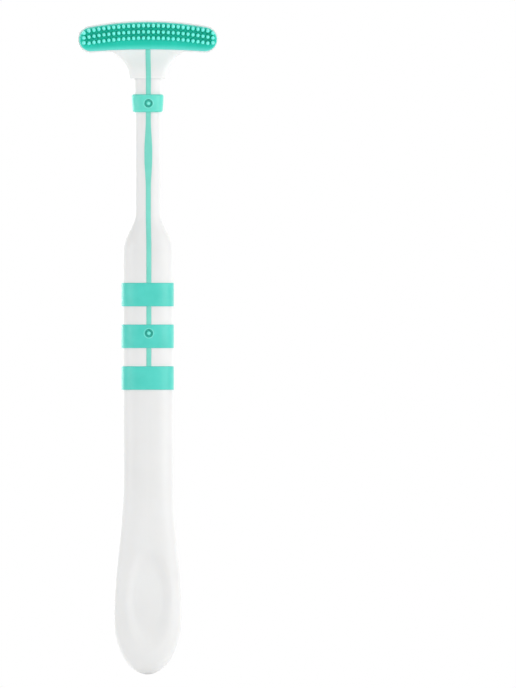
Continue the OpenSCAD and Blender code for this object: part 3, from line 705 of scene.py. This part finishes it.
def pad_form(x, y, z):
    """Distance outside the pad and its nubs."""
    face = -PLATE_THICKNESS / 2 - PAD_HEIGHT
    wall_top = -PLATE_THICKNESS / 2 - PAD_HEIGHT / 4
    side = off_plate(x, z) + PAD_RIM
    below = BASE_RADIUS + PAD_RIM - np.hypot(x, z - BASE_MIDDLE)
    rise, run, reach = wall_top - face, PAD_HEIGHT / 4, PAD_SLOPE + PAD_HEIGHT / 4
    skirt = (side * rise + (wall_top - y) * run) / math.hypot(rise, run)
    slope = (below * rise + (wall_top - y) * reach) / math.hypot(rise, reach)
    body = common(common(common(side, skirt, SKIRT_ROUND), face - y, PAD_ROUND), slope, SLOPE_ROUND)
    body = np.maximum(body, y - PAD_FLOOR + SLIP)
    column = np.clip(np.round(x / NUB_PITCH), -(NUB_COLUMNS // 2), NUB_COLUMNS // 2)
    up = face - y
    for row in range(NUB_ROWS):
        nub_x = column * NUB_PITCH
        squeeze = (np.abs(column) == NUB_COLUMNS // 2) * (row - 1) * END_SQUEEZE
        nub_z = CROWN_Z - ROW_DROP - row * ROW_PITCH - ROW_RADIUS + np.sqrt(ROW_RADIUS**2 - nub_x**2) + squeeze
        away = np.hypot(x - nub_x, (z - nub_z) / NUB_OVAL)
        ball = NUB_HEIGHT - NUB_TIP / 2
        side = away - mix(NUB_ROOT, NUB_TIP, np.clip(up / ball, 0, 1)) / 2
        tip = np.hypot(away, np.maximum(up - ball, 0)) - NUB_TIP / 2
        nub = np.maximum(np.where(up > ball, tip, side), -0.3 - up)
        body = joined(body, nub, NUB_FILLET)
    return body


def mint_elastomer(name, deeper, lighter):
    """Smooth soft elastomer, slightly milky, that gathers a little lint."""
    made = bpy.data.materials.new(name)
    made.use_nodes = True
    tree = made.node_tree
    shader = tree.nodes["Principled BSDF"]
    skin_sizes = {"Ripple Size": 2.2, "Grain Size": 0.09, "Grain Share": 0.45, "Cloud Size": 6.0}
    skin_here = group_node(tree, mould_skin, skin_sizes)
    dust_here = group_node(tree, dust, {"Spacing": 1.7, "Size": 0.045, "Share": 0.35})
    cloudy = colour_mix(tree, skin_here.outputs["Cloud"], (*deeper, 1), (*lighter, 1))
    speck_share = math_node(tree, "MULTIPLY", dust_here.outputs["Speck"], 0.5)
    speckled = colour_mix(tree, speck_share, cloudy, (0.55, 0.80, 0.72, 1))
    rough = node(tree, "ShaderNodeMapRange", {"Value": skin_here.outputs["Cloud"], "To Min": 0.34, "To Max": 0.42})
    tree.links.new(speckled, shader.inputs["Base Color"])
    tree.links.new(rough.outputs["Result"], shader.inputs["Roughness"])
    tree.links.new(skin_normal(tree, skin_here.outputs["Height"], 0.6), shader.inputs["Normal"])
    shader.inputs["IOR"].default_value = 1.5
    shader.inputs["Subsurface Weight"].default_value = 0.3
    shader.inputs["Subsurface Radius"].default_value = (0.35, 1.0, 0.85)
    shader.inputs["Subsurface Scale"].default_value = 0.5 * MM
    return made, tree, speckled, shader


# The pad's colour is a deep green. Painted highlight pales it where it lies low on the plate,
# at its edges and slope, and in the nubs' tips, so the hollows between the nubs look shaded.
PAD_DEEP, PAD_DEEP_CLOUD = (0.004, 0.60, 0.455), (0.012, 0.66, 0.505)
PAD_EDGE_HIGHLIGHT, PAD_TIP_HIGHLIGHT = (0.15, 0.80, 0.70, 1), (0.22, 1.0, 0.86, 1)
pad_mint, tree, pad_colour, shader = mint_elastomer("pad_mint", PAD_DEEP, PAD_DEEP_CLOUD)
place = node(tree, "ShaderNodeTexCoord").outputs["Object"]
depth = node(tree, "ShaderNodeSeparateXYZ", {"Vector": place}).outputs["Y"]
PAD_FACE = PLATE_THICKNESS / 2 + PAD_HEIGHT


def between(tree, depth, start, stop):
    """Mask that grows between two depths in front of the plate's middle."""
    made = node(
        tree,
        "ShaderNodeMapRange",
        {"Value": depth, "From Min": -start * MM, "From Max": -stop * MM},
        interpolation_type="SMOOTHSTEP",
    )
    return made.outputs["Result"]


# Painted highlight by depth alone: paler towards the plate at the pad's edges, and paler in the nubs' tips.
edge_highlight_mask = between(tree, depth, PAD_FACE - 0.2, PAD_FACE - 0.85 * PAD_HEIGHT)
tip_highlight_mask = between(tree, depth, PAD_FACE + 0.2 * NUB_HEIGHT, PAD_FACE + 0.85 * NUB_HEIGHT)
edge_highlighted = colour_mix(tree, edge_highlight_mask, pad_colour, PAD_EDGE_HIGHLIGHT)
tip_highlighted = colour_mix(tree, tip_highlight_mask, edge_highlighted, PAD_TIP_HIGHLIGHT)
tree.links.new(tip_highlighted, shader.inputs["Base Color"])
shader.inputs["Specular IOR Level"].default_value = 0.25
pad = piece(
    "nub_pad",
    *wrapped(pad_form, (-18.25, -4.4, BASE_Z - 1.2), (18.25, -0.75, CROWN_Z), 0.11, settle=2),
    pad_mint,
    crease=50,
)
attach(pad, "root")
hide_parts("bristle_pad")

# ---- Scraping lips ----
# Two blades of the same soft elastomer on the back of the head, moulded into slots:
# a long one along the crown, hooked round both ends, and a short one below it.
LIP_HEIGHT = 2.1
# Painted shade: each lip is darker at its root, next to the plate.
LIP_BACK = PLATE_THICKNESS / 2
LIP_ROOT_SHADE = (0.035, 0.48, 0.39, 1)
# The lips' mint is paler than the bands' though it is the same elastomer: a painted highlight on their flanks and
# edges.
lip_mint, tree, lip_colour, shader = mint_elastomer("lip_mint", (0.155, 0.80, 0.65), (0.20, 0.85, 0.705))
place = node(tree, "ShaderNodeTexCoord").outputs["Object"]
depth = node(tree, "ShaderNodeSeparateXYZ", {"Vector": place}).outputs["Y"]
lip_root_shade = between(tree, depth, -LIP_BACK - 1.1, -LIP_BACK - 0.3)
tree.links.new(colour_mix(tree, lip_root_shade, lip_colour, LIP_ROOT_SHADE), shader.inputs["Base Color"])


def lip(name, path, width, edge):
    """Blade swept along its path, thinner towards a rounded edge."""
    r, w = edge / 2, width / 2 - SLIP
    over = np.radians(np.linspace(180, 0, 13))
    rise = np.linspace(0, 1, 7)[1:-1]
    flank = [[-mix(w, r, ease(t) * 0.35 + t * 0.65), mix(0.02, LIP_HEIGHT - r, t)] for t in rise]
    left = [[-w, -LIP_SEAT + SLIP], [-w, 0.02], *flank]
    top = [[r * math.cos(t), LIP_HEIGHT - r + r * math.sin(t)] for t in over]
    profile = np.array([*left, *top, *[[-u, v] for u, v in left[::-1]]])
    rings = []
    for x, z, out_x, out_z, share in path:
        u, v = profile[:, 0] * share, profile[:, 1]
        v = v - np.maximum(v, 0) / LIP_HEIGHT * 0.5 * (1 - share) ** 2
        rings.append(np.stack([x + out_x * u, PLATE_THICKNESS / 2 + v, z + out_z * u], -1))
    return piece(name, *skin(rings), lip_mint)


outer_lip = lip("outer_lip", outer_path, OUTER_LIP_WIDTH, OUTER_LIP_EDGE)
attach(outer_lip, "root")
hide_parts("outer_scraper_lip")
inner_lip = lip("inner_lip", inner_path, INNER_LIP_WIDTH, INNER_LIP_EDGE)
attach(inner_lip, "root")
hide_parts("inner_scraper_lip")

# ---- Plugs ----
# Ten short soft rods through the plate, where the elastomer flowed from the pad's
# seat into the slots of the lips and holds them.
plugs = piece(
    "lip_plugs",
    *together(*(pillar(x, z, PLUG_DIAMETER / 2, PAD_FLOOR, LIP_FLOOR, 32) for x, z in plug_places)),
    lip_mint,
)
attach(plugs, "root")
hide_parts("lip_anchor_plugs")

# ---- Collar and bands ----
# Soft rings moulded into the grooves of the neck and the grip. Each stands a little
# proud with a rounded edge. The collar and the middle band keep the round mark of
# the gate where the elastomer was injected.
COLLAR_PROUD, COLLAR_ROUND = 0.55, 0.5
BAND_PROUD, BAND_ROUND = 0.1, 0.15
BAND_DEEPER, BAND_LIGHTER = (0.067, 0.645, 0.545), (0.097, 0.715, 0.615)
GATE_RISE = 0.8

# Masks for the rings of a gate mark, where shade and highlight are painted: its dome, the moat, and the raised lip
# round that. Height is that of the mark's middle over the middle of the grip, in millimetres.
gate_rings, gate_in, gate_out = shader_group("gate_rings", {"Height": 0.0}, ["Dome", "Moat", "Lip"])
place = node(gate_rings, "ShaderNodeTexCoord").outputs["Object"]
axes = node(gate_rings, "ShaderNodeSeparateXYZ", {"Vector": place})
gate_height = math_node(gate_rings, "MULTIPLY", gate_in.outputs["Height"], MM)
gate_up = math_node(gate_rings, "SUBTRACT", axes.outputs["Z"], gate_height)
on_face = node(gate_rings, "ShaderNodeCombineXYZ", {"X": axes.outputs["X"], "Y": gate_up})
away = node(gate_rings, "ShaderNodeVectorMath", {0: on_face.outputs[0]}, operation="LENGTH").outputs["Value"]
in_front = math_node(gate_rings, "LESS_THAN", axes.outputs["Y"], 0.0)
for ring_name, (rise_from, rise_to, fall_from, fall_to) in (
    ("Dome", (-0.1, 0, 0.3, 0.46)),
    ("Moat", (0.48, 0.62, 1.02, 1.12)),
    ("Lip", (1.10, 1.18, 1.26, 1.40)),
):
    rising, falling = (
        node(gate_rings, "ShaderNodeMapRange", {"Value": away, "From Min": start * MM, "From Max": stop * MM})
        for start, stop in ((rise_from, rise_to), (fall_to, fall_from))
    )
    ring_mask = math_node(gate_rings, "MULTIPLY", rising.outputs["Result"], falling.outputs["Result"])
    gate_rings.links.new(math_node(gate_rings, "MULTIPLY", ring_mask, in_front), gate_out.inputs[ring_name])


def gated_mint(name, deeper, lighter, gate_z):
    """Soft elastomer with painted shade in a gate mark's moat and painted highlight on its dome and lip."""
    made, tree, colour, shader = mint_elastomer(name, deeper, lighter)
    rings_here = group_node(tree, gate_rings, {"Height": gate_z - GRIP_MIDDLE_Z})
    # Painted shade darkens the moat; painted highlight pales the dome and the lip round it.
    painted_highlight_rings = math_node(tree, "MAXIMUM", rings_here.outputs["Dome"], rings_here.outputs["Lip"])
    for mask, painted_light_colour in ((rings_here.outputs["Moat"], (0.03, 0.45, 0.36, 1)), (painted_highlight_rings, (0.27, 0.90, 0.78, 1))):
        colour = colour_mix(tree, math_node(tree, "MULTIPLY", mask, 0.7), colour, painted_light_colour)
    tree.links.new(colour, shader.inputs["Base Color"])
    return made


# Rings of points round a gate mark, and how deep it lies under the soft ring's face
# at a distance from its middle.
gate_radii = np.array([
    *(0, 0.1, 0.2, 0.3, 0.38, 0.44, 0.5, 0.55, 0.6, 0.65, 0.7, 0.78),
    *(0.86, 0.92, 0.97, 1.02, 1.07, 1.12, 1.17, 1.23, 1.3, 1.4, 1.6),
])
GATE_PROFILE = (
    (0.0, 0.2, 0.35, 0.48, 0.55, 0.62, 0.70, 0.94, 1.00, 1.06, 1.10, 1.14, 1.19, 1.28, 1.38),
    (0.0, 0.02, 0.06, 0.14, 0.24, 0.38, 0.45, 0.45, 0.40, 0.26, 0.09, -0.02, -0.06, -0.04, 0.0),
)


def soft_ring(name, z, height, proud, rounding, material, gate_z=None):
    """Ring in a groove of the handle, with an optional gate mark in its front."""
    turn = np.radians([0, 18, 36, 54, 72, 90])
    crown = 0.04 * min(1, proud * 4)
    reach = gate_radii[-1]
    if gate_z is None:
        middle = list(np.linspace(z + rounding, z + height - rounding, 9)[1:-1])
    else:
        middle = [gate_z - r for r in gate_radii[::-1]] + [gate_z + r for r in gate_radii[1:]]
    rows = [(-SEAT_DEPTH + SLIP, z + SLIP)]
    rows += [(proud - rounding + rounding * math.sin(t), z + rounding * (1 - math.cos(t))) for t in turn]
    rows += [(proud, h) for h in middle]
    rows += [(proud - rounding + rounding * math.cos(t), z + height - rounding * (1 - math.sin(t))) for t in turn]
    rows += [(-SEAT_DEPTH + SLIP, z + height - SLIP)]

    def swelling(h):
        return crown * np.clip(1 - (2 * (h - z) / height - 1) ** 2, 0, 1)

    columns = np.concatenate([-gate_radii[::-1], gate_radii[1:]])
    rings = []
    for out, h in rows:
        more = float(swelling(h)) if out > 0 else 0.0
        a, b = float(half_width(h)) + out + more, float(half_thickness(h)) + out + more
        x, y = outline_from(a, b, BODY_POWER, reach, 140)
        inner = columns[1:-1]
        x = np.concatenate([x, inner])
        y = np.concatenate([y, front_of(a, b, BODY_POWER, inner)])
        rings.append(np.stack([x, y, np.full(len(x), h)], -1))
    rings = np.array(rings)
    if gate_z is not None:
        first_row, first_column = 1 + len(turn), 139
        count = len(gate_radii) - 1
        for i in range(-count, count + 1):
            for j in range(-count, count + 1):
                level = max(abs(i), abs(j))
                if not level:
                    x, up = 0.0, 0.0
                else:
                    square = np.array([math.copysign(gate_radii[abs(n)], n) for n in (i, j)])
                    even = np.array([i, j]) / level
                    circle = even / np.linalg.norm(even) * gate_radii[level]
                    x, up = mix(circle, square, float(ease((gate_radii[level] - 1.25) / 0.35)))
                h = gate_z + up
                more = proud + float(swelling(h))
                face = front_of(float(half_width(h)) + more, float(half_thickness(h)) + more, BODY_POWER, x)
                sunk = np.interp(math.hypot(x, up), *GATE_PROFILE)
                row, column = first_row + count + j, (first_column + count + i) % rings.shape[1]
                rings[row, column] = (x, face + sunk, h)
    return piece(name, *skin(rings, closed=True), material, crease=50)


collar_gate_z = COLLAR_Z + COLLAR_HEIGHT / 2
collar_mint = gated_mint("collar_mint", (0.115, 0.735, 0.60), (0.145, 0.79, 0.66), collar_gate_z)
collar = soft_ring("collar", COLLAR_Z, COLLAR_HEIGHT, COLLAR_PROUD, COLLAR_ROUND, collar_mint, collar_gate_z)
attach(collar, "root")
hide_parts("neck_collar")
band_gate_z = GRIP_MIDDLE_Z + GATE_RISE
soft_mint = mint_elastomer("soft_mint", BAND_DEEPER, BAND_LIGHTER)[0]
gated_band_mint = gated_mint("gated_band_mint", BAND_DEEPER, BAND_LIGHTER, band_gate_z)
for name, z, material, gate_z in (
    ("upper", UPPER_BAND_Z, soft_mint, None),
    ("middle", MIDDLE_BAND_Z, gated_band_mint, band_gate_z),
    ("lower", LOWER_BAND_Z, soft_mint, None),
):
    band = soft_ring("band_" + name, z, BAND_HEIGHT, BAND_PROUD, BAND_ROUND, material, gate_z)
    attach(band, "root")
    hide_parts("grip_band_" + name)

# ---- Runners ----
# The elastomer flowed from band to band, to the collar and on to the pad in a narrow
# channel in the front of the handle, and stays there as a thin strip with a slightly
# rounded face. It swells to a spindle half way up the stem.
RUNNER_PROUD = 0.08
thin_mint = mint_elastomer("thin_mint", (0.185, 0.70, 0.585), (0.225, 0.76, 0.645))[0]


def runner(name, heights):
    """Strip of elastomer in the channel, through the given heights."""
    rings = []
    for z in heights:
        half, face = float(runner_half(z)) - SLIP / 2, front_at(z)
        turn = np.radians([0, 30, 60, 90])
        edge = [[-half + EDGE_ROUND * (1 - math.cos(t)), EDGE_ROUND * (1 - math.sin(t))] for t in turn]
        left = [[-half, RUNNER_DEPTH - SLIP], *edge]
        across = np.linspace(-1, 1, 9)[1:-1]
        top = [[half * s, -RUNNER_PROUD * (1 - s * s)] for s in across]
        profile = np.array([*left, *top, *[[-x, y] for x, y in left[::-1]]])[::-1]
        rings.append(np.stack([profile[:, 0], face + profile[:, 1], np.full(len(profile), z)], -1))
    return piece(name, *skin(rings), thin_mint)


runners = {
    "neck_runner": ("runner_neck", neck_heights),
    "stem_runner": ("runner_stem", [UPPER_BAND_Z + BAND_HEIGHT, SHOULDER_Z - 2, *stem_heights, COLLAR_Z]),
    "band_runner_upper": ("runner_upper", np.linspace(MIDDLE_BAND_Z + BAND_HEIGHT, UPPER_BAND_Z, 4)),
    "band_runner_lower": ("runner_lower", np.linspace(LOWER_BAND_Z + BAND_HEIGHT, MIDDLE_BAND_Z, 4)),
}
for cad_node, (name, heights) in runners.items():
    strip = runner(name, heights)
    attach(strip, "root")
    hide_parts(cad_node)

# ---- Studio ----
# A white sweep with a large soft lamp to the right of the camera, a weaker one on the
# left, one overhead, and two behind that light its back. The white floor touches the
# tip of the paddle, keeps the tool's soft shadow and fades into the backdrop.
FLOOR_HALF = 1.2
floor_mesh = bpy.data.meshes.new("floor")
floor_corners = [(x * FLOOR_HALF, y * FLOOR_HALF, cad_low.z) for x, y in ((-1, -1), (1, -1), (1, 1), (-1, 1))]
floor_mesh.from_pydata(floor_corners, [], [(0, 1, 2, 3)])
floor = bpy.data.objects.new("floor", floor_mesh)
bpy.context.collection.objects.link(floor)
paper = bpy.data.materials.new("white_paper")
paper.use_nodes = True
tree = paper.node_tree
shader = tree.nodes["Principled BSDF"]
place = node(tree, "ShaderNodeTexCoord").outputs["Object"]
fibre = noise(tree, place, 1.2, 4.0, 0.6)
paper_colour = colour_mix(tree, fibre, (0.79, 0.79, 0.79, 1), (0.81, 0.81, 0.81, 1))
tree.links.new(paper_colour, shader.inputs["Base Color"])
shader.inputs["Roughness"].default_value = 0.9
shader.inputs["Specular IOR Level"].default_value = 0.0
path = node(tree, "ShaderNodeLightPath")
seen = math_node(tree, "MAXIMUM", path.outputs["Is Camera Ray"], path.outputs["Is Glossy Ray"])
# Seen by the camera, the paper glows more the farther it is from the tool. Bounced
# light finds a small even glow, which clears the underside of the paddle's tip.
FADE_START, FADE_END, NEAR_GLOW, BOUNCE_GLOW = 0.14, 0.40, 0.4, 0.2
distance = node(tree, "ShaderNodeVectorMath", {0: place}, operation="LENGTH").outputs["Value"]
fade = {"Value": distance, "From Min": FADE_START, "From Max": FADE_END, "To Min": NEAR_GLOW, "To Max": 1.0}
glow = node(tree, "ShaderNodeMapRange", fade).outputs["Result"]
seen_glow = math_node(tree, "MULTIPLY", seen, glow)
tree.links.new(math_node(tree, "MAXIMUM", seen_glow, BOUNCE_GLOW), shader.inputs["Emission Strength"])
shader.inputs["Emission Color"].default_value = (1, 1, 1, 1)
floor_mesh.materials.append(paper)


def soft_lamp(name, place, size, power, towards=(0, 0, 0)):
    """Square soft lamp that faces a point on the tool."""
    data = bpy.data.lights.new(name, "AREA")
    data.shape, data.size, data.energy = "SQUARE", size, power
    lamp = bpy.data.objects.new(name, data)
    lamp.location = place
    lamp.rotation_mode = "QUATERNION"
    lamp.rotation_quaternion = (Vector(towards) - Vector(place)).to_track_quat("-Z", "Y")
    bpy.context.collection.objects.link(lamp)


soft_lamp("key", (0.80, -0.50, 0.25), 0.70, 4.0)
soft_lamp("fill", (-0.80, -0.38, 0.15), 0.60, 2.2)
soft_lamp("overhead", (0.0, 0.05, 0.95), 0.60, 1.4)
soft_lamp("behind", (0.62, 0.62, 0.30), 0.70, 0.9)
soft_lamp("back", (-0.50, 0.82, 0.20), 0.70, 3.0)

world = bpy.data.worlds.new("studio")
bpy.context.scene.world = world
world.use_nodes = True
tree = world.node_tree
tree.nodes.clear()
path = node(tree, "ShaderNodeLightPath")
seen = math_node(tree, "MAXIMUM", path.outputs["Is Camera Ray"], path.outputs["Is Glossy Ray"])
seen = math_node(tree, "MAXIMUM", seen, path.outputs["Is Transmission Ray"])
ambient = node(tree, "ShaderNodeBackground", {"Color": (0.985, 0.99, 1.0, 1), "Strength": 0.485})
backdrop = node(tree, "ShaderNodeBackground", {"Color": (1, 1, 1, 1), "Strength": 1.0})
either = node(tree, "ShaderNodeMixShader", {0: seen})
tree.links.new(ambient.outputs[0], either.inputs[1])
tree.links.new(backdrop.outputs[0], either.inputs[2])
world_out = node(tree, "ShaderNodeOutputWorld")
tree.links.new(either.outputs[0], world_out.inputs["Surface"])
bpy.context.scene.view_settings.view_transform = "Standard"
